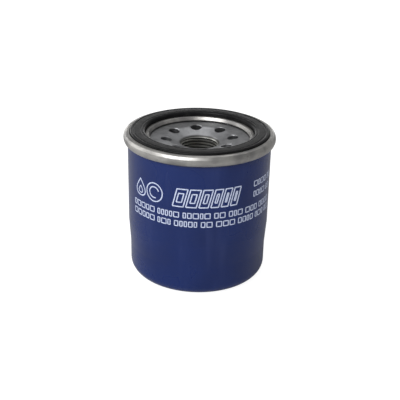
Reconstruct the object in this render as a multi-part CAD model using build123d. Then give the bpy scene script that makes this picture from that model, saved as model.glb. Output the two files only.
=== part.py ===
from build123d import *

import math
import os

# Spin-on oil filter for a small engine, standing on its closed end with its thread upwards.
# Millimetres, +Z up, origin on the axis at the middle of the resting face.

# ---- Driving dimensions ----------------------------------------------------------------------

# housing
can_radius = 35.1
can_step = 0.8
can_wall = 0.5
can_taper_low_z = 15.5
can_taper_high_z = 27.5
can_taper_fillet = 9.0
can_corner_radius = 5.6
dome_radius = 17.0
dome_rise = 1.4
dome_run = 3.2
dome_fillet = 2.2

# double seam between the can and the lid
seam_height = 5.1
lid_sheet = 0.5
seam_slide_gap = 0.02
seam_layer_gap = 0.18
body_hook_length = 2.1
cover_hook_length = 2.0

# gasket and the channel that the lid makes for it
gasket_face_z = 74.2
gasket_height = 4.1
gasket_width = 7.3
gasket_proud = 0.8
gasket_edge_radius = 0.8
gasket_inner_gap = 0.05
gasket_side_gap = 0.08
bead_drop = 2.25
bead_width = 1.9
bead_flat = 0.95
bead_inner_bend = 0.55
bead_outer_bend = 0.42
channel_bend = 0.3
lid_edge_lift = 0.3

# threaded base plate (3/4-16 UNF, in millimetres)
thread_major_diameter = 19.05
thread_depth = 0.695
thread_pitch = 1.5875
thread_length = 9.0
thread_mouth_flare = 0.475
thread_start_angle = 30.0
plate_thickness = 3.0
plate_dish = 2.1
plate_dish_margin = 0.4
plate_bend_radius = 4.0
plate_edge_gap = 0.6
hub_wall = 2.675
hub_fillet = 1.2
inlet_hole_count = 8
inlet_hole_diameter = 5.5
inlet_hub_margin = 1.35
inlet_first_angle = 96.7
inlet_edge_break = 0.35

# anti-drain-back valve
drain_neck_gap = 0.25
drain_neck_wall = 1.3
drain_flange_width = 4.2
drain_flange_thickness = 1.5
drain_ledge_thickness = 1.7
drain_ledge_width = 1.3
drain_seat_gap = 0.05
drain_lip_thickness = 0.9
drain_lip_cover = 1.6
drain_lip_gap = 0.05
drain_hinge_gap = 0.3
drain_neck_height = 4.4

# filter element
element_bottom_z = 12.0
cap_sheet = 0.4
element_side_gap = 3.4
cap_skirt = 3.4
cap_neck = 2.6
potting_thickness = 1.4
fit_gap = 0.05
tube_radius = 12.0
tube_wall = 0.4
tube_hole_diameter = 3.2
tube_holes_around = 10
tube_row_pitch = 4.6
pleat_pitch = 1.8
pleat_inner_gap = 0.7
pleat_outer_gap = 1.4
pleat_fold_gap = 0.5
pleat_valley_gap = 0.2
media_thickness = 0.7
clip_sheet = 0.3
clip_depth = 4.0

# bypass valve in the lower end cap
cage_side_gap = 1.35
cage_sheet = 0.5
cage_height = 13.5
cage_flange_width = 3.4
cage_window_count = 4
cage_window_width = 8.0
cage_window_height = 6.0
cage_window_sill = 3.0
cage_vent_diameter = 3.0
cage_vent_count = 4
seat_plate_sheet = 0.6
seat_land = 2.6
poppet_side_gap = 1.7
poppet_thickness = 1.1
poppet_stem_radius = 1.5
poppet_stem_gap = 0.1
bypass_seal_thickness = 0.8
bypass_wire = 0.8
bypass_coil_inset = 3.0
bypass_turns = 5.0

# spring between the dome and the element
element_wire = 1.8
element_coil_step = 3.5
element_turns = 3.0

# ---- Places worked out from the driving dimensions --------------------------------------------

can_inner_radius = can_radius - can_wall
can_lower_radius = can_radius - can_step
channel_floor_z = gasket_face_z - gasket_height
plate_top_z = channel_floor_z - lid_sheet
plate_bottom_z = plate_top_z - plate_thickness
bore_top_z = plate_top_z - plate_dish
bore_bottom_z = bore_top_z - thread_length
lid_chuck_radius = can_inner_radius - seam_slide_gap - lid_sheet
plate_radius = lid_chuck_radius - plate_edge_gap
gasket_outer_radius = lid_chuck_radius - gasket_side_gap
gasket_inner_radius = gasket_outer_radius - gasket_width

# the hub is sized by its thread, and the inlet holes and the dish by the hub
thread_mouth_radius = thread_major_diameter / 2 + thread_mouth_flare
hub_radius = thread_major_diameter / 2 + hub_wall
inlet_circle_radius = hub_radius + inlet_hub_margin + inlet_hole_diameter / 2
plate_dish_radius = inlet_circle_radius + plate_dish_margin

# three more sheet layers lie outside the can in the seam
seam_top_z = gasket_face_z - gasket_proud
seam_bottom_z = seam_top_z - seam_height
seam_radius = can_radius + 3 * (lid_sheet + seam_layer_gap)
chuck_mid = can_inner_radius - seam_slide_gap - lid_sheet / 2
cover_mid = seam_radius - lid_sheet / 2
can_mid = can_radius - can_wall / 2
cover_hook_mid = can_radius + seam_layer_gap + lid_sheet / 2
body_hook_mid = cover_hook_mid + seam_layer_gap + lid_sheet
top_curl_radius = (cover_mid - chuck_mid) / 2
top_curl_z = seam_top_z - lid_sheet / 2 - top_curl_radius
bottom_curl_radius = (cover_mid - cover_hook_mid) / 2
bottom_curl_z = seam_bottom_z + lid_sheet / 2 + bottom_curl_radius
body_curl_radius = (body_hook_mid - can_mid) / 2

bead_top_z = gasket_face_z - bead_drop
lid_bead_radius = gasket_inner_radius - gasket_inner_gap - lid_sheet / 2
lid_edge_radius = lid_bead_radius - bead_width

element_top_z = bore_bottom_z - drain_seat_gap - drain_ledge_thickness
upper_cap_underside_z = element_top_z - cap_sheet
lower_cap_top_z = element_bottom_z + cap_sheet
media_bottom_z = lower_cap_top_z + potting_thickness
media_top_z = upper_cap_underside_z - potting_thickness
cap_radius = can_lower_radius - can_wall - element_side_gap
media_inner_radius = tube_radius + pleat_inner_gap
media_outer_radius = cap_radius - cap_sheet - pleat_outer_gap
pleat_count = math.floor(2 * math.pi * media_inner_radius / pleat_pitch)
tube_inner_radius = tube_radius - tube_wall
cap_neck_radius = tube_inner_radius - fit_gap
cap_bore_radius = cap_neck_radius - cap_sheet

cage_radius = cap_bore_radius - cage_side_gap
cage_flange_radius = cage_radius + cage_flange_width
cage_flange_top_z = element_bottom_z
seat_plate_top_z = cage_flange_top_z - cage_sheet
seat_plate_bottom_z = seat_plate_top_z - seat_plate_sheet
cage_top_z = cage_flange_top_z + cage_height
poppet_radius = cage_radius - cage_sheet - poppet_side_gap
seat_hole_radius = poppet_radius - seat_land
bypass_coil_radius = poppet_radius - bypass_coil_inset
poppet_bottom_z = seat_plate_top_z + bypass_seal_thickness
poppet_top_z = poppet_bottom_z + poppet_thickness

drain_neck_inner = hub_radius + drain_neck_gap
drain_neck_outer = drain_neck_inner + drain_neck_wall
drain_flange_radius = drain_neck_outer + drain_flange_width


# ---- Shape helpers -----------------------------------------------------------------------------


def revolved(face_sketch):
    """A sketch drawn as (radius, height) turned about the Z axis."""
    return revolve(Plane.XZ * face_sketch, Axis.Z)


def ring(inner, outer, low, high):
    """A plain ring of rectangular section; an inner radius of zero makes a disc."""
    return revolved(make_face(Polyline(
        (inner, low), (outer, low), (outer, high), (inner, high), close=True)))


def parallel_side(points, bends, shift):
    """A bent sheet's face: the polyline moved to its left by shift, with each bend kept concentric."""
    points = [Vector(*p) for p in points]
    ways = [(b - a).normalized() for a, b in zip(points, points[1:])]
    lefts = [Vector(-way.Y, way.X) for way in ways]
    moved = [points[0] + lefts[0] * shift]
    radii = []
    for i, bend in enumerate(bends):
        mitre = (lefts[i] + lefts[i + 1]) / (1 + lefts[i].dot(lefts[i + 1]))
        moved.append(points[i + 1] + mitre * shift)
        turns_left = ways[i].cross(ways[i + 1]).Z > 0
        radii.append(bend - shift if turns_left else bend + shift)
    moved.append(points[-1] + lefts[-1] * shift)
    return FilletPolyline(*moved, radius=radii)


def sheet_strip(centre_points, bends, thickness):
    """A bent sheet drawn from its centre line, with a bend radius at every inner point."""
    left = parallel_side(centre_points, bends, thickness / 2)
    right = parallel_side(centre_points, bends, -thickness / 2)
    ends = [Line(left @ 0, right @ 0), Line(left @ 1, right @ 1)]
    return make_face(Curve() + [left, right] + ends)


def coil(mean_radius, wire, low, high, turns):
    """A round-wire coil whose end turns lie flat on the planes low and high."""
    bottom = low + wire / 2
    rise = high - low - wire
    path = Helix(pitch=rise / turns, height=rise, radius=mean_radius, center=(0, 0, bottom))
    section = Plane(origin=path @ 0, z_dir=path % 0) * Circle(wire / 2)
    return sweep(section, path=path, is_frenet=True)


def turned_copies(shape, count, first_angle=0.0):
    """The same shape repeated evenly about the Z axis."""
    return [Rot(0, 0, first_angle + 360.0 * i / count) * shape for i in range(count)]


# ---- Housing -----------------------------------------------------------------------------------


def can_corners(shift):
    """Corners of the can's profile from the axis up to the seam, moved inwards by shift."""
    return [
        (0, dome_rise + shift),
        (dome_radius - dome_run, dome_rise + shift),
        (dome_radius, shift),
        (can_lower_radius - shift, shift),
        (can_lower_radius - shift, can_taper_low_z),
        (can_radius - shift, can_taper_high_z),
        (can_radius - shift, top_curl_z),
    ]


def make_can():
    """Drawn steel cup with its rim curled over into the body hook of the seam."""
    outside = can_corners(0.0)
    inside = can_corners(can_wall)
    wall = make_face(Polyline(*outside, *reversed(inside), close=True))
    bends = [dome_fillet, dome_fillet, can_corner_radius, can_taper_fillet, can_taper_fillet]
    for outer, inner, bend in zip(outside[1:], inside[1:], bends):
        inner_bend = bend - can_wall if outer[0] > dome_radius else bend
        wall = fillet(wall.vertices().sort_by_distance(outer)[0], bend)
        wall = fillet(wall.vertices().sort_by_distance(inner)[0], inner_bend)
    curl_outer = body_curl_radius + can_wall / 2
    curl_inner = body_curl_radius - can_wall / 2
    curl_centre = (can_mid + body_curl_radius, top_curl_z)
    curl = Pos(*curl_centre) * (Circle(curl_outer) - Circle(curl_inner))
    curl -= Pos(curl_centre[0], curl_centre[1] - curl_outer) * Rectangle(4 * curl_outer, 2 * curl_outer)
    hook = Pos(body_hook_mid, top_curl_z - body_hook_length / 2) * Rectangle(can_wall, body_hook_length)
    return revolved(wall + curl + hook)


def make_seaming_lid():
    """Pressed ring: raised inner bead, gasket channel, and the outer turns of the double seam."""
    floor_mid = channel_floor_z - lid_sheet / 2
    bead_mid = bead_top_z - lid_sheet / 2
    edge_z = plate_top_z + lid_edge_lift + lid_sheet / 2
    points = [
        (lid_edge_radius, edge_z),
        (lid_bead_radius - bead_flat, bead_mid),
        (lid_bead_radius, bead_mid),
        (lid_bead_radius, floor_mid),
        (chuck_mid, floor_mid),
        (chuck_mid, top_curl_z),
    ]
    bends = [bead_inner_bend, bead_outer_bend, channel_bend, channel_bend]
    pressed = sheet_strip(points, bends, lid_sheet)

    def half_ring(centre, mid_radius, upper):
        outer = mid_radius + lid_sheet / 2
        sign = -1 if upper else 1
        whole = Pos(*centre) * (Circle(outer) - Circle(mid_radius - lid_sheet / 2))
        return whole - Pos(centre[0], centre[1] + sign * outer) * Rectangle(4 * outer, 2 * outer)

    top_curl = half_ring((chuck_mid + top_curl_radius, top_curl_z), top_curl_radius, True)
    bottom_curl = half_ring((cover_mid - bottom_curl_radius, bottom_curl_z), bottom_curl_radius, False)
    cover_height = top_curl_z - bottom_curl_z
    cover = Pos(cover_mid, bottom_curl_z + cover_height / 2) * Rectangle(lid_sheet, cover_height)
    hook_centre = bottom_curl_z + cover_hook_length / 2
    hook = Pos(cover_hook_mid, hook_centre) * Rectangle(lid_sheet, cover_hook_length)
    return revolved(pressed + top_curl + bottom_curl + cover + hook)


def make_seam_compound():
    """Cured sealing compound between the two hooks of the seam."""
    inner = cover_hook_mid + lid_sheet / 2
    outer = body_hook_mid - can_wall / 2
    high = bottom_curl_z + cover_hook_length
    low = top_curl_z - body_hook_length
    return ring(inner, outer, low, high)


def thread_tap():
    """Everything the drill and tap take out of the hub: the minor bore and its helical groove."""
    major = thread_major_diameter / 2
    minor = major - thread_depth
    flank = math.tan(math.radians(30))
    root_width = thread_pitch / 8
    overreach = 0.25
    depth = thread_depth + overreach
    mouth_width = root_width + 2 * depth * flank
    overrun = 1.5 * thread_pitch
    low = bore_bottom_z - overrun
    height = thread_length + 2 * overrun
    path = Helix(pitch=thread_pitch, height=height, radius=major, center=(0, 0, low))
    start = Plane(origin=(major, 0, low), x_dir=(1, 0, 0), z_dir=(0, -1, 0))
    section = start * make_face(Polyline(
        (0, -root_width / 2), (0, root_width / 2),
        (-depth, mouth_width / 2), (-depth, -mouth_width / 2), close=True))
    groove = Rot(0, 0, thread_start_angle) * sweep(section, path=path, is_frenet=True)
    drill = Pos(0, 0, low + height / 2) * Cylinder(minor, height + 2 * overrun)
    return drill + groove


def dish_z(radius):
    """Height of the plate's dished top surface at a radius."""
    share = (radius - thread_mouth_radius) / (plate_dish_radius - thread_mouth_radius)
    return bore_top_z + plate_dish * share


def inlet_punch():
    """Punch for one inlet hole, with a cone that breaks the upper edge.

    The hole straddles the bend of the dish, so the punch leans half as much as the dish does.
    """
    slope = math.degrees(math.atan2(plate_dish, plate_dish_radius - thread_mouth_radius))
    radius = inlet_hole_diameter / 2
    punch = revolved(make_face(Polyline(
        (0, -2 * plate_thickness),
        (radius, -2 * plate_thickness),
        (radius, -inlet_edge_break),
        (radius + 3 * inlet_edge_break, 2 * inlet_edge_break),
        (0, 2 * inlet_edge_break),
        close=True)))
    return Pos(inlet_circle_radius, 0, dish_z(inlet_circle_radius)) * Rot(0, -slope / 2, 0) * punch


def make_base_plate():
    """Thick pressed plate: dished, with inlet holes and a drawn hub threaded for the engine stud."""
    hub_root_z = dish_z(hub_radius) - plate_thickness
    section = make_face(Polyline(
        (0, bore_bottom_z),
        (hub_radius, bore_bottom_z),
        (hub_radius, hub_root_z),
        (plate_dish_radius, plate_bottom_z),
        (plate_radius, plate_bottom_z),
        (plate_radius, plate_top_z),
        (plate_dish_radius, plate_top_z),
        (thread_mouth_radius, bore_top_z),
        (0, bore_top_z - thread_mouth_radius),
        close=True))
    hub_root = section.vertices().sort_by_distance((hub_radius, hub_root_z))[0]
    section = fillet(hub_root, hub_fillet)
    for bend_z in (plate_top_z, plate_bottom_z):
        bend = section.vertices().sort_by_distance((plate_dish_radius, bend_z))[0]
        section = fillet(bend, plate_bend_radius)
    plate = revolved(section)
    for punch in turned_copies(inlet_punch(), inlet_hole_count, inlet_first_angle):
        plate -= punch
    return plate - thread_tap()


def make_sealing_gasket():
    """Square-section rubber ring held in the lid's channel."""
    section = Pos((gasket_inner_radius + gasket_outer_radius) / 2, gasket_face_z - gasket_height / 2) * \
        Rectangle(gasket_outer_radius - gasket_inner_radius, gasket_height)
    top_corners = section.vertices().group_by(Axis.Y)[-1]
    section = fillet(top_corners, gasket_edge_radius)
    return revolved(section)


# ---- Anti-drain-back valve ---------------------------------------------------------------------


def plate_underside_z(radius):
    """Height of the plate's underside at a radius."""
    return min(dish_z(radius), plate_top_z) - plate_thickness


def make_anti_drain_collar():
    """Neck of the rubber valve round the hub, clamped between the hub's end and the element."""
    base = element_top_z
    ledge_inner = drain_neck_inner - drain_ledge_width
    return revolved(make_face(Polyline(
        (ledge_inner, base),
        (drain_flange_radius, base),
        (drain_flange_radius, base + drain_flange_thickness),
        (drain_neck_outer, base + drain_flange_thickness),
        (drain_neck_outer, base + drain_neck_height),
        (drain_neck_inner, base + drain_neck_height),
        (drain_neck_inner, base + drain_ledge_thickness),
        (ledge_inner, base + drain_ledge_thickness),
        close=True)))


def make_anti_drain_lip():
    """Conical lip that closes the inlet holes from below and bends down under oil flow."""
    tip = inlet_circle_radius + inlet_hole_diameter / 2 + drain_lip_cover
    root = drain_neck_outer + drain_hinge_gap
    root_z = element_top_z + drain_neck_height
    tip_z = plate_underside_z(tip) - drain_lip_gap
    land = 1.2
    return revolved(make_face(Polyline(
        (root, root_z - drain_lip_thickness),
        (root, root_z),
        (tip - land, plate_underside_z(tip - land) - drain_lip_gap),
        (tip, tip_z),
        (tip, tip_z - drain_lip_thickness),
        (tip - land, plate_underside_z(tip - land) - drain_lip_gap - drain_lip_thickness),
        close=True)))


# ---- Filter element ----------------------------------------------------------------------------


def make_end_cap(face_z, upward):
    """Pressed steel cap: flat web, outer skirt over the pleats and a short inner neck."""
    sign = 1 if upward else -1
    web = [face_z, face_z + sign * cap_sheet]
    skirt = [face_z, face_z + sign * cap_skirt]
    shape = ring(cap_bore_radius, cap_radius, min(web), max(web))
    shape += ring(cap_radius - cap_sheet, cap_radius, min(skirt), max(skirt))
    rim = shape.edges().filter_by(GeomType.CIRCLE).group_by(SortBy.RADIUS)[-1]
    outer_corner = rim.sort_by(Axis.Z)[0 if upward else -1]
    return fillet(outer_corner, cap_sheet * 0.9)


def make_upper_end_cap():
    """Upper cap with a neck inside the centre tube."""
    cap = make_end_cap(element_top_z, upward=False)
    return cap + ring(cap_bore_radius, cap_neck_radius, element_top_z - cap_neck, element_top_z)


def make_lower_end_cap():
    """Lower cap with a neck inside the centre tube, round the bypass valve."""
    cap = make_end_cap(element_bottom_z, upward=True)
    return cap + ring(cap_bore_radius, cap_neck_radius, element_bottom_z, element_bottom_z + cap_neck)


def make_potting(low, high):
    """Cured adhesive disc that bonds the pleats into an end cap."""
    return ring(tube_radius + fit_gap, cap_radius - cap_sheet, low, high)


def make_center_tube():
    """Perforated steel tube that keeps the pleats from collapsing inwards."""
    tube = ring(tube_inner_radius, tube_radius, lower_cap_top_z, upper_cap_underside_z)
    clear = cap_neck + tube_hole_diameter
    first = lower_cap_top_z + clear
    last = upper_cap_underside_z - clear
    gaps = max(round((last - first) / tube_row_pitch), 1)
    spacing = (last - first) / gaps
    drill = Rot(0, 90, 0) * Cylinder(tube_hole_diameter / 2, 2 * tube_radius + 2)
    cutters = []
    for row in range(gaps + 1):
        stagger = 180.0 / tube_holes_around * (row % 2)
        for i in range(tube_holes_around // 2):
            angle = stagger + 360.0 * i / tube_holes_around
            cutters.append(Pos(0, 0, first + spacing * row) * Rot(0, 0, angle) * drill)
    return tube.cut(*cutters)


def pleat_outline(outer_radius, outer_half, inner_radius, inner_half):
    """Closed zigzag: a flat fold of each half width at the outside and at the inside of a pleat."""
    points = []
    for i in range(2 * pleat_count):
        angle = i * math.pi / pleat_count
        along = outer_radius if i % 2 == 0 else inner_radius
        half = outer_half if i % 2 == 0 else inner_half
        for side in (-half, half):
            points.append((
                along * math.cos(angle) - side * math.sin(angle),
                along * math.sin(angle) + side * math.cos(angle)))
    return make_face(Polyline(*points, close=True))


def make_pleated_media():
    """Resin-bonded filter paper folded into deep pleats and closed into a ring."""
    fold_half = pleat_fold_gap / 2
    valley_half = pleat_valley_gap / 2
    outside = pleat_outline(
        media_outer_radius, fold_half + media_thickness,
        media_inner_radius + media_thickness, valley_half)
    inside = pleat_outline(
        media_outer_radius - media_thickness, fold_half,
        media_inner_radius, valley_half + media_thickness)
    return Pos(0, 0, media_bottom_z) * extrude(outside - inside, media_top_z - media_bottom_z)


def make_pleat_seam_clip():
    """Folded steel strip crimped over the pleat where the two ends of the paper meet."""
    height = media_top_z - media_bottom_z
    middle = (media_top_z + media_bottom_z) / 2
    outer_face = media_outer_radius + fit_gap + clip_sheet
    depth = clip_depth + clip_sheet
    slot_half = pleat_fold_gap / 2 + media_thickness + fit_gap
    channel_half = slot_half + clip_sheet
    channel = Pos(outer_face - depth / 2, 0, middle) * Box(depth, 2 * channel_half, height)
    slot = Pos(outer_face - clip_sheet - depth / 2, 0, middle) * Box(depth, 2 * slot_half, height + 2)
    return channel - slot


# ---- Bypass valve ------------------------------------------------------------------------------


def make_bypass_cage():
    """Pressed cup with side windows, a stem guide, and a flange crimped round the seat plate."""
    inner = cage_radius - cage_sheet
    lip_width = cage_sheet * 2.4
    lip_high = seat_plate_bottom_z - fit_gap
    lip_low = lip_high - cage_sheet
    guide = poppet_stem_radius + poppet_stem_gap
    cage = ring(inner, cage_radius, seat_plate_top_z, cage_top_z)
    cage += ring(guide, cage_radius, cage_top_z - cage_sheet, cage_top_z)
    cage += ring(inner, cage_flange_radius, seat_plate_top_z, cage_flange_top_z)
    cage += ring(cage_flange_radius - cage_sheet, cage_flange_radius, lip_low, cage_flange_top_z)
    cage += ring(cage_flange_radius - lip_width, cage_flange_radius, lip_low, lip_high)
    window_z = cage_flange_top_z + cage_window_sill + cage_window_height / 2
    window = Pos(cage_radius, 0, window_z) * Box(3 * cage_sheet + 2, cage_window_width, cage_window_height)
    vent_circle = (guide + inner) / 2
    vent = Pos(vent_circle, 0, cage_top_z) * Cylinder(cage_vent_diameter / 2, 4 * cage_sheet)
    for cutter in turned_copies(window, cage_window_count):
        cage -= cutter
    for cutter in turned_copies(vent, cage_vent_count, 180.0 / cage_vent_count):
        cage -= cutter
    return cage


def make_bypass_seat_plate():
    """Flat annular seat that the poppet's seal closes on."""
    outer = cage_flange_radius - cage_sheet - fit_gap
    return ring(seat_hole_radius, outer, seat_plate_bottom_z, seat_plate_top_z)


def make_bypass_seal():
    """Rubber washer bonded under the poppet."""
    return ring(seat_hole_radius - 1.2, poppet_radius - 0.2, seat_plate_top_z, poppet_bottom_z)


def make_bypass_poppet():
    """Moulded disc with a spring boss and a guide stem."""
    boss_radius = bypass_coil_radius - bypass_wire / 2 - 0.3
    boss_height = 1.2
    stem_top = cage_top_z + 1.0
    poppet = ring(0, poppet_radius, poppet_bottom_z, poppet_top_z)
    poppet += ring(0, boss_radius, poppet_top_z, poppet_top_z + boss_height)
    poppet += ring(0, poppet_stem_radius, poppet_top_z, stem_top)
    rim = poppet.edges().filter_by(GeomType.CIRCLE).group_by(SortBy.RADIUS)[-1].sort_by(Axis.Z)[-1]
    poppet = fillet(rim, poppet_thickness * 0.4)
    tip = poppet.edges().filter_by(GeomType.CIRCLE).group_by(Axis.Z)[-1]
    return chamfer(tip, poppet_stem_radius * 0.3)


def make_bypass_spring():
    """Light coil that holds the poppet on its seat."""
    return coil(bypass_coil_radius, bypass_wire, poppet_top_z, cage_top_z - cage_sheet, bypass_turns)


def make_element_spring():
    """Heavy coil on the can's closed end that presses the element up."""
    mean_radius = dome_radius + element_coil_step
    return coil(mean_radius, element_wire, can_wall, element_bottom_z, element_turns)


# ---- Build -------------------------------------------------------------------------------------

parts = {
    "can": make_can(),
    "seaming_lid": make_seaming_lid(),
    "seam_compound": make_seam_compound(),
    "base_plate": make_base_plate(),
    "sealing_gasket": make_sealing_gasket(),
    "anti_drain_collar": make_anti_drain_collar(),
    "anti_drain_lip": make_anti_drain_lip(),
    "upper_end_cap": make_upper_end_cap(),
    "upper_potting": make_potting(media_top_z, upper_cap_underside_z),
    "pleated_media": make_pleated_media(),
    "pleat_seam_clip": make_pleat_seam_clip(),
    "lower_potting": make_potting(lower_cap_top_z, media_bottom_z),
    "lower_end_cap": make_lower_end_cap(),
    "center_tube": make_center_tube(),
    "bypass_cage": make_bypass_cage(),
    "bypass_seat_plate": make_bypass_seat_plate(),
    "bypass_seal": make_bypass_seal(),
    "bypass_poppet": make_bypass_poppet(),
    "bypass_spring": make_bypass_spring(),
    "element_spring": make_element_spring(),
}

os.makedirs("parts", exist_ok=True)
for name, shape in parts.items():
    export_step(shape, os.path.join("parts", name + ".step"))
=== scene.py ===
import math

import bpy
import numpy as np
from mathutils import Matrix, Vector


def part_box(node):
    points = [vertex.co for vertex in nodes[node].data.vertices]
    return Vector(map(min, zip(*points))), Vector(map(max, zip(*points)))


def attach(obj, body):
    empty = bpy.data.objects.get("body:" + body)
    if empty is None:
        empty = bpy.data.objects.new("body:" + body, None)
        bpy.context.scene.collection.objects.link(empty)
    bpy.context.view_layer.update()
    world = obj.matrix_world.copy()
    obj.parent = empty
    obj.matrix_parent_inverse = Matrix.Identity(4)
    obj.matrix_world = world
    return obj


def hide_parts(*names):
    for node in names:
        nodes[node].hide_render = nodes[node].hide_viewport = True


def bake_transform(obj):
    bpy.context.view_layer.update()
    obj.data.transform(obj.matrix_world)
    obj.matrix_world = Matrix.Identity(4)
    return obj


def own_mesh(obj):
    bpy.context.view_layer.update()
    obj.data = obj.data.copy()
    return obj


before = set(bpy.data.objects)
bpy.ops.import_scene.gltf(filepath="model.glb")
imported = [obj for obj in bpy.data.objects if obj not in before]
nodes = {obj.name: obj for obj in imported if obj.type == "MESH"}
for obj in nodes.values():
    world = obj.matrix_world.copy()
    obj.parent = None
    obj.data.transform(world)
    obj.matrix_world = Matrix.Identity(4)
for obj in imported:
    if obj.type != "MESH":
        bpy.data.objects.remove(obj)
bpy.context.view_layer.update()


# ---- Can ---------------------------------------------------------------------------------------
# Deep-drawn steel cup in baked navy enamel. Its rim is rolled into the double seam.
# The enamel lies on in a faint orange peel, over the upright lines left by the drawing die.

enamel_navy = (0.0020, 0.0138, 0.092, 1)
enamel_deep = (0.0015, 0.0096, 0.066, 1)
enamel_scuff = (0.016, 0.030, 0.125, 1)
peel_height = 0.0000035
draw_line_height = 0.000001


class Output:
    """One output of a shader node. Sums on it, with numbers or other outputs, add Math nodes."""

    def __init__(self, tree, socket):
        self.tree = tree
        self.socket = socket

    def node(self, kind, settings, inputs, output=0):
        """Adds a node: its settings are made first, then its inputs get values or links."""
        made = self.tree.nodes.new(kind)
        for name, value in settings.items():
            setattr(made, name, value)
        for name, value in inputs.items():
            if isinstance(value, Output):
                self.tree.links.new(value.socket, made.inputs[name])
            else:
                made.inputs[name].default_value = value
        return Output(self.tree, made.outputs[output])

    def _math(self, operation, left, right):
        return self.node("ShaderNodeMath", {"operation": operation}, {0: left, 1: right})

    def __add__(self, other):
        return self._math("ADD", self, other)

    def __radd__(self, other):
        return self._math("ADD", other, self)

    def __sub__(self, other):
        return self._math("SUBTRACT", self, other)

    def __rsub__(self, other):
        return self._math("SUBTRACT", other, self)

    def __mul__(self, other):
        return self._math("MULTIPLY", self, other)

    def __rmul__(self, other):
        return self._math("MULTIPLY", other, self)


def start_finish(name):
    """A new material, and the piece's own coordinates in millimetres to work its finish out from."""
    material = bpy.data.materials.new(name)
    material.use_nodes = True
    material.node_tree.nodes.clear()
    tree = material.node_tree
    place = Output(tree, tree.nodes.new("ShaderNodeTexCoord").outputs["Object"])
    millimetres = place.node("ShaderNodeVectorMath", {"operation": "SCALE"}, {0: place, "Scale": 1000.0})
    return material, millimetres


def stretched(place, x, y, z):
    """The coordinates with each direction multiplied by its own number, to draw a pattern out."""
    return place.node("ShaderNodeVectorMath", {"operation": "MULTIPLY"}, {0: place, 1: (x, y, z)})


def noise(place, scale, detail=2.0, roughness=0.5):
    """Cloudy noise from 0 to 1; scale is in cycles per millimetre."""
    return place.node("ShaderNodeTexNoise", {}, {
        "Vector": place, "Scale": scale, "Detail": detail, "Roughness": roughness})


def between(value, low, high):
    """0 where the value is under low, 1 where it is over high, and smooth in between."""
    return value.node("ShaderNodeMapRange", {"interpolation_type": "SMOOTHSTEP"}, {
        "Value": value, "From Min": low, "From Max": high})


def mixed(share, first, second):
    """The first colour where share is 0, the second where it is 1."""
    return share.node("ShaderNodeMix", {"data_type": "RGBA"}, {0: share, 6: first, 7: second}, 2)


def bumps(height, metres):
    """A normal bent by a height from 0 to 1 that stands for so many metres."""
    return height.node("ShaderNodeBump", {}, {"Height": height, "Distance": metres, "Strength": 1.0})


def round_axis(place, fine):
    """Coordinates for marks that run round the axis: slow along a turn, fine across it.

    The direction from the axis gives the slow part. The distance from the axis and the height,
    added and multiplied by fine, give the quick part.
    """
    flat = stretched(place, 1, 1, 0)
    way = place.node("ShaderNodeVectorMath", {"operation": "NORMALIZE"}, {0: flat})
    reach = place.node("ShaderNodeVectorMath", {"operation": "LENGTH"}, {0: flat}, 1)
    split = place.tree.nodes.new("ShaderNodeSeparateXYZ")
    place.tree.links.new(place.socket, split.inputs[0])
    height = Output(place.tree, split.outputs["Z"])
    across = (reach + height * 0.8) * fine
    lift = place.node("ShaderNodeCombineXYZ", {}, {"X": 0.0, "Y": 0.0, "Z": across})
    return place.node("ShaderNodeVectorMath", {"operation": "ADD"}, {0: way, 1: lift})


def end_finish(material, place, **inputs):
    """Closes a material with a Principled shader.

    Keyword names are the names of the shader's sockets, with _ for a space.
    """
    named = {name.replace("_", " "): value for name, value in inputs.items()}
    surface = place.node("ShaderNodeBsdfPrincipled", {}, named)
    close = material.node_tree.nodes.new("ShaderNodeOutputMaterial")
    material.node_tree.links.new(surface.socket, close.inputs["Surface"])
    return material


def coat(material, *names):
    """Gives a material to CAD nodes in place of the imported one."""
    for name in names:
        nodes[name].data.materials.clear()
        nodes[name].data.materials.append(material)


def navy_enamel():
    """Navy enamel: cloudy depth of colour, faint upright rubs, orange peel and draw lines."""
    material, place = start_finish("navy_enamel")
    cloud = noise(place, 0.045, 1.0)
    rubs = between(noise(stretched(place, 1, 1, 0.16), 0.16, 2.0, 0.5), 0.5, 0.85)
    colour = mixed(between(cloud, 0.1, 0.9), enamel_navy, enamel_deep)
    colour = mixed(rubs * 0.35, colour, enamel_scuff)
    peel = noise(place, 0.9, 2.0)
    lines = noise(stretched(place, 1, 1, 0.02), 2.2, 3.0, 0.6)
    normal = bumps(peel, peel_height)
    normal = lines.node("ShaderNodeBump", {}, {
        "Height": lines, "Distance": draw_line_height, "Strength": 1.0, "Normal": normal})
    rough = 0.24 + cloud * 0.08 + rubs * 0.12
    return end_finish(material, place, Base_Color=colour, Roughness=rough,
                      Specular_IOR_Level=0.33, Normal=normal)


coat(navy_enamel(), "can")


# ---- Printing on the can -----------------------------------------------------------------------
# Screen-printed pale ink a few hundredths thick: an outlined drop and ring, a band of leaning
# blocks, and rows of small open boxes in place of the mounting notes. No lettering.

ink_pale = (0.48, 0.53, 0.68, 1)
ink_thin = (0.27, 0.32, 0.46, 1)
ink_thickness = 0.00003
ink_lift = 0.000012
stroke_width = 0.55
notes_from = -149.6
notes_to = -14.0
note_height = 2.5
mark_stroke = 0.45
mark_widths = (1.9, 2.8, 4.0)
mark_gap = 1.5
group_gap = 2.0
block_edges = (
    (-110.0, -101.5), (-99.5, -91.5), (-89.5, -82.5), (-80.5, -74.5), (-72.5, -67.0), (-65.0, -59.5))
block_heights = (47.9, 56.7)
block_inset = 2.2
block_lean = 0.42
note_rows = (43.6, 39.2)
short_row_from = -42.0
short_rows = (55.6, 50.4)

can_low, can_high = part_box("can")
# the upright wall's own radius: the curled rim and the wider seam lie above the printing
print_radius = 0.0351


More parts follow.
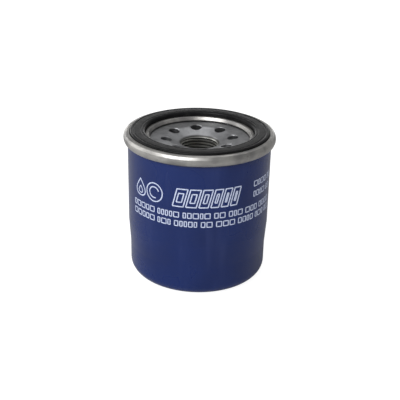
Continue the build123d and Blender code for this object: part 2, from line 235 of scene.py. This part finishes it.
def grid_faces(rows, columns, close_rows=False, close_columns=False):
    """Corner numbers of the quads of a grid stored row by row, closed on itself where asked."""
    row = np.arange(rows if close_rows else rows - 1)
    column = np.arange(columns if close_columns else columns - 1)
    r, c = np.meshgrid(row, column, indexing="ij")
    r2, c2 = (r + 1) % rows, (c + 1) % columns
    corners = [r * columns + c, r * columns + c2, r2 * columns + c2, r2 * columns + c]
    return np.stack([a.ravel() for a in corners], axis=1)


def piece(name, points, faces, material, smooth_angle=35.0):
    """Makes a mesh object from numpy arrays of points in metres and of faces."""
    mesh = bpy.data.meshes.new(name)
    mesh.from_pydata(points.tolist(), [], faces if isinstance(faces, list) else faces.tolist())
    mesh.update()
    mesh.shade_smooth()
    mesh.set_sharp_from_angle(angle=math.radians(smooth_angle))
    mesh.materials.append(material)
    made = bpy.data.objects.new(name, mesh)
    bpy.context.scene.collection.objects.link(made)
    return made


def stroke(line, width):
    """A printed stroke along a line of (angle in degrees, height in mm) points.

    The line is divided into short steps. At each step the ink is a box section: half the width
    to either side across the line, and from just above the enamel to the ink's thickness.
    The section is carried along the line and its ends are closed.
    """
    line = np.array(line, float)
    line[:, 0] = np.radians(line[:, 0]) * print_radius * 1000
    reach = np.r_[0, np.cumsum(np.hypot(*np.diff(line, axis=0).T))]
    steps = max(int(reach[-1] / 0.4), 1) + 1
    along = np.unique(np.r_[np.linspace(0, reach[-1], steps), reach])
    middle = np.stack([np.interp(along, reach, line[:, 0]), np.interp(along, reach, line[:, 1])], 1)
    way = np.gradient(middle, axis=0)
    way /= np.hypot(*way.T)[:, None]
    side = np.stack([-way[:, 1], way[:, 0]], 1) * width / 2
    edges = np.stack([middle - side, middle + side, middle + side, middle - side], 1)
    lift = np.array([ink_lift, ink_lift, ink_lift + ink_thickness, ink_lift + ink_thickness])
    radius = print_radius + lift[None, :]
    angle = edges[..., 0] / (print_radius * 1000)
    points = np.stack([radius * np.cos(angle), radius * np.sin(angle), edges[..., 1] / 1000], -1)
    count = len(along)
    faces = grid_faces(count, 4, close_columns=True).tolist()
    faces += [[3, 2, 1, 0], [4 * count - 4, 4 * count - 3, 4 * count - 2, 4 * count - 1]]
    return points.reshape(-1, 3), faces


def joined(parts):
    """Several (points, faces) made into one."""
    points, faces, start = [], [], 0
    for part_points, part_faces in parts:
        points.append(part_points)
        faces += [[start + corner for corner in face] for face in part_faces]
        start += len(part_points)
    return np.concatenate(points), faces


def drop_outline(angle, height, size):
    """An oil drop standing at an angle and height: a circle below, drawn up to a point.

    Going round t from 0 to 1, the half width is sin(2 pi t) times sin(pi t) to the power 1.4,
    and the height is minus cos(2 pi t), so that the point is at the top.
    """
    t = np.linspace(0.0, 1.0, 41)
    across = np.sin(2 * np.pi * t) * np.sin(np.pi * t) ** 1.4
    up = np.cos(2 * np.pi * t)
    degrees = 180 / np.pi / (print_radius * 1000)
    return np.stack([angle + across * size * 0.55 * degrees, height + up * size / 2], 1)


def ring_outline(angle, height, radius, from_degrees=0.0, to_degrees=360.0):
    """A circle, or an arc of one, lying on the can."""
    t = np.radians(np.linspace(from_degrees, to_degrees, 49))
    degrees = 180 / np.pi / (print_radius * 1000)
    return np.stack([angle + radius * np.cos(t) * degrees, height + radius * np.sin(t)], 1)


def mark_row(rng, start, stop, height, tall):
    """Small open boxes of uneven width along a row, in groups of uneven length."""
    made, angle = [], start
    low, high = height - tall / 2, height + tall / 2
    while angle < stop:
        for _ in range(int(rng.integers(2, 6))):
            right = angle + float(rng.choice(mark_widths))
            if right > stop:
                break
            made.append(stroke([(angle, low), (angle, high), (right, high), (right, low), (angle, low)],
                               mark_stroke))
            angle = right + mark_gap
        angle += group_gap
    return made


def slanted_block(left, right, low, high, inset):
    """A leaning block: an outline, and a smaller one inside it."""
    lean = (high - low) * block_lean
    made = []
    for step in (0.0, inset):
        shift = step * block_lean
        made.append(stroke([
            (left + step + shift, low + step), (right - step + shift, low + step),
            (right - step + lean - shift, high - step), (left + step + lean - shift, high - step),
            (left + step + shift, low + step)], stroke_width))
    return made


def can_printing():
    """All the ink on the can: the drop and ring, the leaning blocks, and the rows of boxes."""
    rng = np.random.default_rng(7)
    ink = [stroke(drop_outline(-141.0, 52.6, 8.6), stroke_width)]
    ink.append(stroke(drop_outline(-141.0, 51.4, 3.6), stroke_width * 0.8))
    ink.append(stroke(ring_outline(-126.0, 52.4, 4.6), stroke_width))
    ink.append(stroke(ring_outline(-126.0, 52.4, 2.7, 20, 290), stroke_width))
    for left, right in block_edges:
        ink += slanted_block(left, right, *block_heights, block_inset)
    for height in note_rows:
        ink += mark_row(rng, notes_from, notes_to, height, note_height)
    for height in short_rows:
        ink += mark_row(rng, short_row_from, notes_to, height, note_height)
    return joined(ink)


def pale_ink():
    """Screen ink: pale blue-white, thinner in places so that some navy shows through."""
    material, place = start_finish("pale_ink")
    thin = between(noise(place, 1.3, 4.0, 0.65), 0.35, 0.75)
    colour = mixed(thin * 0.8, ink_pale, ink_thin)
    return end_finish(material, place, Base_Color=colour, Roughness=0.42 + thin * 0.1,
                      Normal=bumps(noise(place, 3.0, 2.0), 0.000002))


ink_points, ink_faces = can_printing()
ink_piece = piece("can_printing", ink_points, ink_faces, pale_ink())
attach(ink_piece, "housing")


# ---- Spring under the element ------------------------------------------------------------------
# Heavy coil of drawn wire that stands on the can's closed end and presses the element up.
# Its end turns are closed and ground flat.

wire_grey = (0.36, 0.36, 0.37, 1)
wire_dark = (0.20, 0.20, 0.21, 1)


def ground_coil(low, high, radius, wire, turns, sides=14, steps_each=72):
    """A compression spring with closed, ground ends, as (points, faces) in metres.

    The wire's height is the running sum of its pitch: one wire thickness over the end turns,
    and over the turns between them whatever is left of the height, with a smooth change.
    A circle of wire is carried along, and what would pass the end planes is ground flat on them.
    """
    count = int(turns * steps_each) + 1
    t = np.linspace(0, turns, count)

    def eased(x):
        x = np.clip(x, 0, 1)
        return x * x * (3 - 2 * x)

    free = eased((t - 0.7) / 0.5) * eased((turns - 0.7 - t) / 0.5)
    step = t[1] - t[0]
    rise = high - low - wire / 2
    pitch = wire * 0.98 + (rise - wire * 0.98 * turns) / (free.sum() * step) * free
    centre_z = np.r_[0, np.cumsum((pitch[1:] + pitch[:-1]) / 2 * step)]
    centre_z = low + wire / 4 + centre_z * rise / centre_z[-1]
    angle = 2 * np.pi * t
    climb = np.arctan2(np.gradient(centre_z, t), 2 * np.pi * radius)
    turn = np.linspace(0, 2 * np.pi, sides, endpoint=False)
    out = radius + wire / 2 * np.cos(turn)[None, :]
    up = wire / 2 * np.sin(turn)[None, :] * np.cos(climb)[:, None]
    back = wire / 2 * np.sin(turn)[None, :] * np.sin(climb)[:, None]
    around = angle[:, None] - back / radius
    z = np.clip(centre_z[:, None] + up, low, high)
    points = np.stack([out * np.cos(around), out * np.sin(around), z], -1).reshape(-1, 3)
    faces = grid_faces(count, sides, close_columns=True)[:, ::-1].tolist()
    last = (count - 1) * sides
    faces += [list(range(sides)), [last + i for i in reversed(range(sides))]]
    return points, faces


def spring_wire(name):
    """Drawn wire: grey, with fine lines along it and darker oil in places."""
    material, place = start_finish(name)
    along = noise(round_axis(place, 5.0), 2.5, 3.0)
    oil = between(noise(place, 0.18, 4.0, 0.6), 0.45, 0.7)
    return end_finish(material, place, Base_Color=mixed(oil, wire_grey, wire_dark), Metallic=1.0,
                      Roughness=0.3 + along * 0.15, Normal=bumps(along, 0.000004))


def fitted_spring(node, body, turns, material):
    """A spring in the space of its CAD node, carried by a body."""
    low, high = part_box(node)
    wire_across = {"element_spring": 0.0018, "bypass_spring": 0.0008}[node]
    radius = high.x - wire_across / 2
    points, faces = ground_coil(low.z, high.z, radius, wire_across, turns)
    made = piece(node + "_wire", points, faces, material)
    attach(made, body)
    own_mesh(made)
    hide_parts(node)
    return made


drawn_wire = spring_wire("drawn_wire")
fitted_spring("element_spring", "housing", 4.0,
              drawn_wire)


# ---- Bypass valve ------------------------------------------------------------------------------
# Pressed cup crimped round a seat plate, with a moulded poppet, its bonded seal and a light coil.
# It hangs in the lower end cap and opens when the paper is clogged.

tin_light = (0.52, 0.52, 0.50, 1)
tin_dark = (0.34, 0.34, 0.33, 1)
nylon_black = (0.018, 0.018, 0.02, 1)
nylon_grey = (0.03, 0.03, 0.032, 1)
valve_black = (0.014, 0.0135, 0.013, 1)
valve_dusty = (0.028, 0.027, 0.026, 1)


def tin_plate():
    """Satin tin plate: rolled grain round the axis, spangle clouds and faint stains."""
    material, place = start_finish("tin_plate")
    grain = noise(round_axis(place, 6.0), 3.0, 3.0, 0.6)
    cloud = noise(place, 0.12, 4.0)
    colour = mixed(between(cloud, 0.35, 0.7), tin_light, tin_dark)
    return end_finish(material, place, Base_Color=colour, Metallic=1.0,
                      Roughness=0.28 + grain * 0.14 + cloud * 0.08, Normal=bumps(grain, 0.000003))


def glass_nylon():
    """Glass-filled nylon: nearly black, with the short fibres just showing."""
    material, place = start_finish("glass_nylon")
    fibres = noise(stretched(place, 1, 1, 2.5), 4.0, 4.0, 0.7)
    colour = mixed(between(fibres, 0.5, 0.75), nylon_black, nylon_grey)
    return end_finish(material, place, Base_Color=colour, Roughness=0.42 + fibres * 0.15,
                      Normal=bumps(fibres, 0.000006))


def valve_rubber():
    """Soft moulded rubber: black with a dusting of release powder, and a fine skin."""
    material, place = start_finish("valve_rubber")
    dust = between(noise(place, 0.35, 5.0, 0.6), 0.45, 0.75)
    skin = noise(place, 5.0, 3.0)
    return end_finish(material, place, Base_Color=mixed(dust, valve_black, valve_dusty),
                      Roughness=0.5 + dust * 0.15, Normal=bumps(skin, 0.000006))


plate_tin = tin_plate()
black_rubber = valve_rubber()
coat(plate_tin, "bypass_cage", "bypass_seat_plate")
coat(glass_nylon(), "bypass_poppet")
coat(black_rubber, "bypass_seal")
fitted_spring("bypass_spring", "element", 6.0,
              drawn_wire)


# ---- Filter element ----------------------------------------------------------------------------
# Pleated resin-bonded paper round a perforated tube, glued into two pressed end caps.
# A folded clip closes the paper into a ring, and cured adhesive fills each cap.

paper_tan = (0.62, 0.44, 0.20, 1)
paper_pale = (0.74, 0.58, 0.32, 1)
paper_fibre = (0.45, 0.30, 0.13, 1)
glue_grey = (0.17, 0.15, 0.13, 1)
glue_dark = (0.10, 0.09, 0.08, 1)
compound_red = (0.16, 0.055, 0.03, 1)
compound_dark = (0.10, 0.03, 0.018, 1)


def filter_paper():
    """Crepe paper: pale and tan clouds, single dark fibres, and creping across the pleats."""
    material, place = start_finish("filter_paper")
    cloud = noise(place, 0.4, 4.0, 0.6)
    fibres = between(noise(stretched(place, 1, 1, 0.25), 6.0, 3.0, 0.7), 0.62, 0.72)
    crepe = noise(stretched(place, 0.2, 0.2, 3.0), 1.4, 3.0)
    colour = mixed(between(cloud, 0.3, 0.7), paper_pale, paper_tan)
    return end_finish(material, place, Base_Color=mixed(fibres * 0.6, colour, paper_fibre),
                      Roughness=0.85 + cloud * 0.1, Normal=bumps(crepe + fibres * 0.4, 0.00006))


def set_paste(name, light, dark):
    """Cured paste or adhesive: cloudy, slightly glossy, with small bubbles in its skin."""
    material, place = start_finish(name)
    cloud = noise(place, 0.5, 4.0, 0.55)
    bubbles = place.node("ShaderNodeTexVoronoi", {}, {"Vector": place, "Scale": 0.9})
    pits = 1 - between(bubbles, 0.05, 0.2)
    return end_finish(material, place, Base_Color=mixed(between(cloud, 0.3, 0.7), light, dark),
                      Roughness=0.4 + cloud * 0.2, Normal=bumps(cloud - pits * 0.5, 0.00003))


coat(filter_paper(), "pleated_media")
coat(plate_tin, "pleat_seam_clip", "center_tube", "upper_end_cap", "lower_end_cap")
coat(set_paste("potting_adhesive", glue_grey, glue_dark), "upper_potting", "lower_potting")


# ---- Anti-drain-back valve ---------------------------------------------------------------------
# One soft rubber moulding: a neck and flange clamped between the hub and the element, and a thin
# conical lip that closes the inlet holes from below.

ledge_thickness = 1.7
flange_thickness = 1.5
lip_thickness = 0.9
lip_land = 1.2
hinge_gap = 0.3


def rounded(points, radii, steps=7):
    """A closed outline with each corner replaced by an arc of its own radius.

    The arc's centre lies on the line that halves the corner, and its ends touch both sides.
    """
    points = np.array(points, float)
    made = []
    for i, radius in enumerate(radii):
        here = points[i]
        before = points[i - 1] - here
        after = points[(i + 1) % len(points)] - here
        before /= np.hypot(*before)
        after /= np.hypot(*after)
        half = math.acos(float(np.clip(before @ after, -1, 1))) / 2
        if radius <= 0 or half > 1.56:
            made.append(here[None, :])
            continue
        middle = (before + after) / np.hypot(*(before + after))
        centre = here + middle * radius / math.sin(half)
        first = here + before * radius / math.tan(half) - centre
        last = here + after * radius / math.tan(half) - centre
        share = np.linspace(0, 1, steps)[:, None]
        arc = first * (1 - share) + last * share
        arc *= radius / np.hypot(*arc.T)[:, None]
        made.append(centre + arc)
    return np.concatenate(made)


def turned(outline, segments=192):
    """A closed outline of (radius, height) in mm turned about the axis, as points in metres and faces."""
    outline = np.array(outline) / 1000
    angle = np.linspace(0, 2 * np.pi, segments, endpoint=False)
    radius, z = outline[:, 0], outline[:, 1]
    points = np.stack([
        np.outer(np.cos(angle), radius), np.outer(np.sin(angle), radius),
        np.broadcast_to(z, (segments, len(z)))], -1)
    return points.reshape(-1, 3), grid_faces(segments, len(outline), True, True)


def valve_outline():
    """Section of the whole moulding, from the sizes of its two CAD nodes."""
    collar_low, collar_high = (corner * 1000 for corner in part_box("anti_drain_collar"))
    lip_low, lip_high = (corner * 1000 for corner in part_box("anti_drain_lip"))
    bore = inner_radius("anti_drain_collar", 0.9, 1.0)
    base = collar_low.z
    top = collar_high.z
    neck = inner_radius("anti_drain_lip") - hinge_gap
    ledge = inner_radius("anti_drain_collar", 0.0, 0.05)
    tip = lip_high.x
    return rounded([
        (ledge, base), (collar_high.x, base), (collar_high.x, base + flange_thickness),
        (neck, base + flange_thickness), (neck, top - lip_thickness),
        (tip - lip_land, lip_high.z - lip_thickness), (tip, lip_high.z - lip_thickness),
        (tip, lip_high.z), (tip - lip_land, lip_high.z), (neck + 0.2, top), (bore, top),
        (bore, base + ledge_thickness), (ledge, base + ledge_thickness)],
        [0.3, 0.4, 0.4, 0.6, 0.8, 1.0, 0.35, 0.35, 1.0, 0.5, 0.3, 0.3, 0.3])


def inner_radius(node, low_share=0.0, high_share=1.0):
    """Smallest distance from the axis, in mm, of a node's points between two shares of its height."""
    mesh = nodes[node].data
    points = np.empty(len(mesh.vertices) * 3, np.float32)
    mesh.vertices.foreach_get("co", points)
    points = points.reshape(-1, 3) * 1000
    low, high = points[:, 2].min(), points[:, 2].max()
    share = (points[:, 2] - low) / (high - low)
    chosen = points[(share >= low_share - 1e-6) & (share <= high_share + 1e-6)]
    return float(np.hypot(chosen[:, 0], chosen[:, 1]).min())


valve_points, valve_faces = turned(valve_outline())
valve = piece("anti_drain_valve", valve_points, valve_faces, black_rubber)
lip_low, lip_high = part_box("anti_drain_lip")
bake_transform(valve)
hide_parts("anti_drain_collar", "anti_drain_lip")


# ---- Base plate --------------------------------------------------------------------------------
# Thick pressed plate, zinc plated, with eight punched inlet holes and a drawn, tapped hub.
# The press leaves rings round the hub. The thread carries painted light: a painted highlight on its
# crests and painted shade in its roots.

zinc_light = (0.43, 0.435, 0.45, 1)
zinc_dark = (0.27, 0.275, 0.285, 1)
zinc_stain = (0.13, 0.13, 0.135, 1)
# the next two colours are painted light in the bore: a pale painted highlight for the thread's crests and
# a dark painted shade for its roots
zinc_crest_highlight = (0.62, 0.62, 0.59, 1)
zinc_root_shade = (0.10, 0.10, 0.095, 1)
thread_crest_to_root = (8.9, 9.3)
thread_painted_light_from = 9.3
thread_painted_light_to = 10.2


def zinc_plate():
    """Satin zinc: rings from the press, cloudy tone, dark stains and dull patches, and in the bore a
    painted highlight on the thread's crests and painted shade in its roots.
    """
    material, place = start_finish("zinc_plate")
    rings = noise(round_axis(place, 1.6), 1.6, 4.0, 0.6)
    cloud = noise(place, 0.16, 5.0, 0.6)
    stain = between(noise(place, 0.33, 5.0, 0.65), 0.6, 0.78)
    colour = mixed(between(cloud, 0.35, 0.7), zinc_light, zinc_dark)
    colour = mixed(stain * 0.55, colour, zinc_stain)
    reach = place.node("ShaderNodeVectorMath", {"operation": "LENGTH"}, {0: stretched(place, 1, 1, 0)}, 1)
    # painted light in the bore: the thread's crests are painted bright as a highlight and its roots
    # painted dark as shade
    tapped = between(reach * -1.0, -thread_painted_light_to, -thread_painted_light_from)
    thread = mixed(between(reach, *thread_crest_to_root), zinc_crest_highlight, zinc_root_shade)
    colour = mixed(tapped, colour, thread)
    fine = noise(place, 3.5, 3.0)
    normal = bumps(rings, 0.00001)
    normal = fine.node("ShaderNodeBump", {}, {
        "Height": fine, "Distance": 0.000006, "Strength": 1.0, "Normal": normal})
    return end_finish(material, place, Base_Color=colour, Metallic=1.0,
                      Roughness=0.3 + cloud * 0.16 + stain * 0.1 - tapped * 0.04, Normal=normal)


coat(zinc_plate(), "base_plate")


# ---- Seaming lid and its seam ------------------------------------------------------------------
# Tin-plated ring pressed with the gasket's channel, rolled over the can's rim in a double seam.
# The seaming rollers burnish it round the axis and leave it dull where the can was handled.

lid_light = (0.46, 0.45, 0.43, 1)
lid_dark = (0.27, 0.265, 0.26, 1)
lid_stain = (0.15, 0.145, 0.14, 1)
lid_sheet = 0.5
curled_sheet = 0.48
gasket_play = 0.05
plate_play = 0.6
bead_rise = 1.85
bead_lean = 0.75
# corners of the seam's outer face: inwards from the widest radius, above the lower edge
seam_face = ((1.86, 0.1), (1.15, 0.0), (0.5, 0.5), (0.08, 1.5), (0.0, 2.4), (0.16, 3.4))
# corners inside the fold, down from the top curl and up round the cover hook
seam_fold = ((0.52, 1.7), (0.7, 1.25), (1.1, 0.9), (1.36, 0.82), (1.36, 2.8), (1.86, 2.8))


def rolled_tin():
    """Rolled tin plate: burnished lines round the axis, handling stains, and small dents."""
    material, place = start_finish("rolled_tin")
    lines = noise(round_axis(place, 4.0), 2.6, 4.0, 0.65)
    cloud = noise(place, 0.09, 5.0, 0.6)
    stain = between(noise(place, 0.28, 6.0, 0.65), 0.58, 0.75)
    colour = mixed(between(cloud, 0.35, 0.68), lid_light, lid_dark)
    colour = mixed(stain * 0.5, colour, lid_stain)
    dents = noise(place, 0.35, 3.0)
    normal = bumps(dents, 0.00002)
    normal = lines.node("ShaderNodeBump", {}, {
        "Height": lines, "Distance": 0.000005, "Strength": 1.0, "Normal": normal})
    return end_finish(material, place, Base_Color=colour, Metallic=1.0,
                      Roughness=0.34 + lines * 0.14 + stain * 0.12, Normal=normal)


def lid_outline():
    """Section of the pressed ring, from its inner edge round the underside and back over the top.

    The sheet's thickness is kept along the raised bead, the gasket's channel, the chuck wall
    and the fat rounded seam, and the cover hook turns up inside the can's hook.
    """
    low, high = (corner * 1000 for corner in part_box("seaming_lid"))
    reach, base = high.x, low.z
    edge = inner_radius("seaming_lid")
    bead = inner_radius("sealing_gasket") - gasket_play
    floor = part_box("base_plate")[1].z * 1000 + lid_sheet
    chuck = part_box("base_plate")[1].x * 1000 + plate_play
    bead_under = floor + bead_rise - lid_sheet
    fold_top = high.z - curled_sheet
    underside = [
        (edge + 0.2, floor - 0.15), (edge + bead_lean + 0.3, bead_under), (bead - lid_sheet, bead_under),
        (bead - lid_sheet, floor - lid_sheet), (chuck + lid_sheet, floor - lid_sheet),
        (chuck + lid_sheet, fold_top), (reach - curled_sheet - 0.04, fold_top)]
    fold = [(reach - inwards, base + up) for inwards, up in seam_fold]
    face = [(reach - inwards, base + up) for inwards, up in seam_face]
    top = [
        (reach - 0.82, high.z - 0.42), (reach - 1.7, high.z), (chuck, high.z), (chuck, floor),
        (bead, floor), (bead, floor + bead_rise), (edge + bead_lean, floor + bead_rise),
        (edge - 0.04, floor + 0.3)]
    bends = [0.1, 0.2, 0.2, 0.55, 0.55, 1.0, 1.02]
    bends += [0.4, 0.3, 0.2, 0.05, 0.15, 0.15]
    bends += [0.2, 0.45, 0.8, 1.0, 1.6, 1.2]
    bends += [0.9, 0.9, 0.55, 0.2, 0.2, 0.5, 0.5, 0.2]
    return rounded(underside + fold + face + top, bends)


lid_points, lid_faces = turned(lid_outline(), 256)
lid = piece("rolled_lid", lid_points, lid_faces, rolled_tin(), 50.0)
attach(lid, "housing")
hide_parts("seaming_lid")
coat(set_paste("seam_paste", compound_red, compound_dark), "seam_compound")


# ---- Sealing gasket ----------------------------------------------------------------------------
# Moulded nitrile rubber ring pressed into the lid's channel, proud of the seam.
# Its face has a shallow groove between two low beads, and it is oiled to a satin sheen.

groove_depth = 0.22
gasket_black = (0.0060, 0.0060, 0.0066, 1)
gasket_worn = (0.013, 0.013, 0.0128, 1)


def gasket_outline():
    """Section of the ring: square below, rounded above, with two shallow grooves in its face."""
    low, high = (corner * 1000 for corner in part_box("sealing_gasket"))
    inner, outer = inner_radius("sealing_gasket"), high.x
    top, depth = high.z, groove_depth
    return rounded([
        (inner, low.z), (outer, low.z), (outer, top - 0.05), (outer - 1.25, top),
        (outer - 1.75, top - depth), (outer - 2.2, top - 0.04), (inner + 2.2, top - 0.04),
        (inner + 1.75, top - depth), (inner + 1.3, top - 0.05), (inner, top - 0.35)],
        [0.25, 0.25, 0.75, 0.3, 0.3, 0.4, 0.4, 0.3, 0.5, 1.0])


def gasket_rubber():
    """Nitrile rubber: black, greyer where it was rubbed, with a moulded skin and satin sheen."""
    material, place = start_finish("gasket_rubber")
    worn = between(noise(place, 0.3, 5.0, 0.6), 0.45, 0.75)
    lines = noise(round_axis(place, 1.5), 1.5, 3.0)
    skin = noise(place, 4.0, 4.0, 0.6)
    return end_finish(material, place, Base_Color=mixed(worn, gasket_black, gasket_worn),
                      Roughness=0.38 + worn * 0.14, Specular_IOR_Level=0.11,
                      Normal=bumps(skin * 0.5 + lines * 0.5, 0.000014))


gasket_points, gasket_faces = turned(gasket_outline(), 256)
gasket = piece("moulded_gasket", gasket_points, gasket_faces, gasket_rubber(), 50.0)
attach(gasket, "housing")
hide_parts("sealing_gasket")


# ---- Studio ------------------------------------------------------------------------------------
# A pale floor, a soft box in front at the left, weaker ones overhead, at the left and low at the
# rear, and a camera a forearm's length away that looks down at the thread end.

floor_height = -0.0001
camera_distance = 0.4025
camera_height_angle = math.radians(25.03)
camera_roll = math.radians(1.21)
camera_aim = Vector((0.0, 0.0, 0.030))


def pale_floor():
    """A white sweep, lit a little from below; shiny things see it dimmer than the camera does."""
    material, place = start_finish("pale_floor")
    tone = noise(place, 0.01, 3.0)
    bright = place.node("ShaderNodeBsdfPrincipled", {}, {
        "Base Color": mixed(tone, (0.26, 0.26, 0.26, 1), (0.24, 0.24, 0.24, 1)),
        "Roughness": 0.9, "Emission Color": (1, 1, 1, 1), "Emission Strength": 0.92})
    dim = place.node("ShaderNodeBsdfDiffuse", {}, {"Color": (0.55, 0.55, 0.55, 1)})
    path = material.node_tree.nodes.new("ShaderNodeLightPath")
    ray = Output(material.node_tree, path.outputs["Is Glossy Ray"])
    seen = ray.node("ShaderNodeMixShader", {}, {0: ray, 1: bright, 2: dim})
    close = material.node_tree.nodes.new("ShaderNodeOutputMaterial")
    material.node_tree.links.new(seen.socket, close.inputs["Surface"])
    return material


def floor_disc(radius, rings=12, segments=96):
    """A flat disc just under the filter.

    The rings of points lie at distances that grow with the square of the ring's number.
    """
    reach = radius * (np.arange(1, rings + 1) / rings) ** 2
    angle = np.linspace(0, 2 * np.pi, segments, endpoint=False)
    ring = np.stack([np.outer(reach, np.cos(angle)), np.outer(reach, np.sin(angle)),
                     np.full((rings, segments), floor_height)], -1).reshape(-1, 3)
    faces = grid_faces(rings, segments, close_columns=True)[:, ::-1].tolist()
    faces += [list(range(segments))]
    return ring, faces


def soft_box(name, place, aim, wide, tall, watts):
    """A rectangular light at a place, turned towards a point."""
    lamp = bpy.data.lights.new(name, "AREA")
    lamp.shape = "RECTANGLE"
    lamp.size = wide
    lamp.size_y = tall
    lamp.energy = watts
    made = bpy.data.objects.new(name, lamp)
    bpy.context.scene.collection.objects.link(made)
    made.location = place
    made.rotation_euler = (Vector(aim) - Vector(place)).to_track_quat("-Z", "Y").to_euler()
    return made


floor_points, floor_faces = floor_disc(6.0)
floor = piece("floor", floor_points, floor_faces, pale_floor())

# name, place, point lit, width, height, watts
soft_boxes = (
    ("key_box", (-0.38, -0.57, 0.57), (0, 0, 0.06), 0.5, 0.5, 7.0),
    ("overhead_box", (0.10, 0.35, 0.85), (0, 0, 0.05), 0.6, 0.4, 0.8),
    ("left_box", (-0.75, 0.20, 0.35), (0, 0, 0.05), 0.5, 0.7, 1.8),
    ("rear_box", (-0.2, 0.95, 0.13), (0, 0, 0.04), 1.5, 0.22, 3.0),
)
for box in soft_boxes:
    soft_box(*box)

world = bpy.data.worlds.new("studio")
bpy.context.scene.world = world
world.use_nodes = True
world.node_tree.nodes["Background"].inputs["Color"].default_value = (1, 1, 1, 1)
world.node_tree.nodes["Background"].inputs["Strength"].default_value = 0.35

lens = bpy.data.cameras.new("camera")
lens.lens = 71.06
lens.sensor_width = 36.0
lens.shift_x = 0.0047
lens.shift_y = 0.0272
lens.clip_start = 0.01
lens.clip_end = 20.0
camera = bpy.data.objects.new("camera", lens)
bpy.context.scene.collection.objects.link(camera)
back = Vector((0.0, -math.cos(camera_height_angle), math.sin(camera_height_angle)))
turn = Matrix.Rotation(math.pi / 2 - camera_height_angle, 4, "X") @ Matrix.Rotation(camera_roll, 4, "Z")
camera.matrix_world = Matrix.Translation(camera_aim + back * camera_distance) @ turn
bpy.context.scene.camera = camera
bpy.context.scene.view_settings.view_transform = "Standard"
